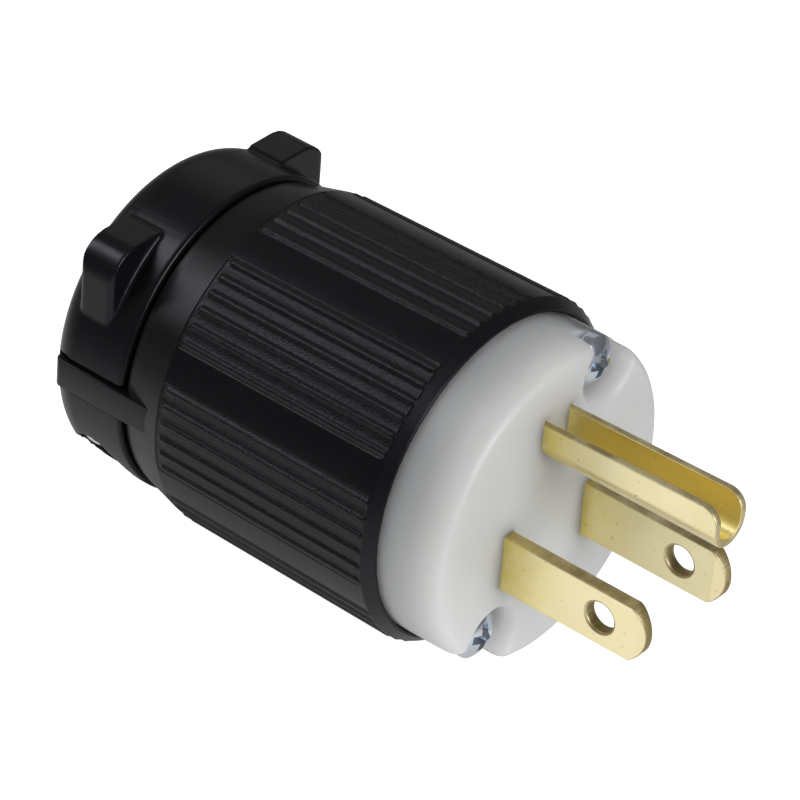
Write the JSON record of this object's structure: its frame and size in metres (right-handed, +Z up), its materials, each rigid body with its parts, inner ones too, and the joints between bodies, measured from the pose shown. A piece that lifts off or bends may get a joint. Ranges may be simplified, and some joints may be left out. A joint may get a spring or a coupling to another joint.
{
  "type": "power plug",
  "caption": "Rewirable power plug with flat blades, a folded earth pin, a ribbed round housing and a screwed cord clamp at the rear.",
  "frame": {"origin": "on the body's axis, in the plane of the white mating face", "axes": "+Y along the body towards the cord end, so the blades point to -Y; +Z up, on the earth pin's side; +X to the right seen from the contacts"},
  "size_m": [0.0378, 0.0723, 0.0378],
  "materials": {
    "black_nylon": "satin moulded nylon",
    "white_nylon": "semi-gloss moulded nylon",
    "grey_plastic": "matte moulded thermoset",
    "brass": "stamped sheet, plain",
    "zinc_steel": "bright zinc plated",
    "brass_screw": "plain",
    "nickel_screw": "nickel plated",
    "green_screw": "green lacquered"
  },
  "bodies": {
    "root": {"housing": "black_nylon", "face": "white_nylon", "terminal_block": "grey_plastic", "line_blade": "brass", "neutral_blade": "brass", "earth_pin": "brass", "line_plate": "zinc_steel", "neutral_plate": "zinc_steel", "earth_plate": "zinc_steel", "line_screw": "brass_screw", "neutral_screw": "nickel_screw", "earth_screw": "green_screw", "face_screws": "zinc_steel", "upper_clamp": "black_nylon", "lower_clamp": "black_nylon", "clamp_screws": "zinc_steel"}
  },
  "joints": []
}
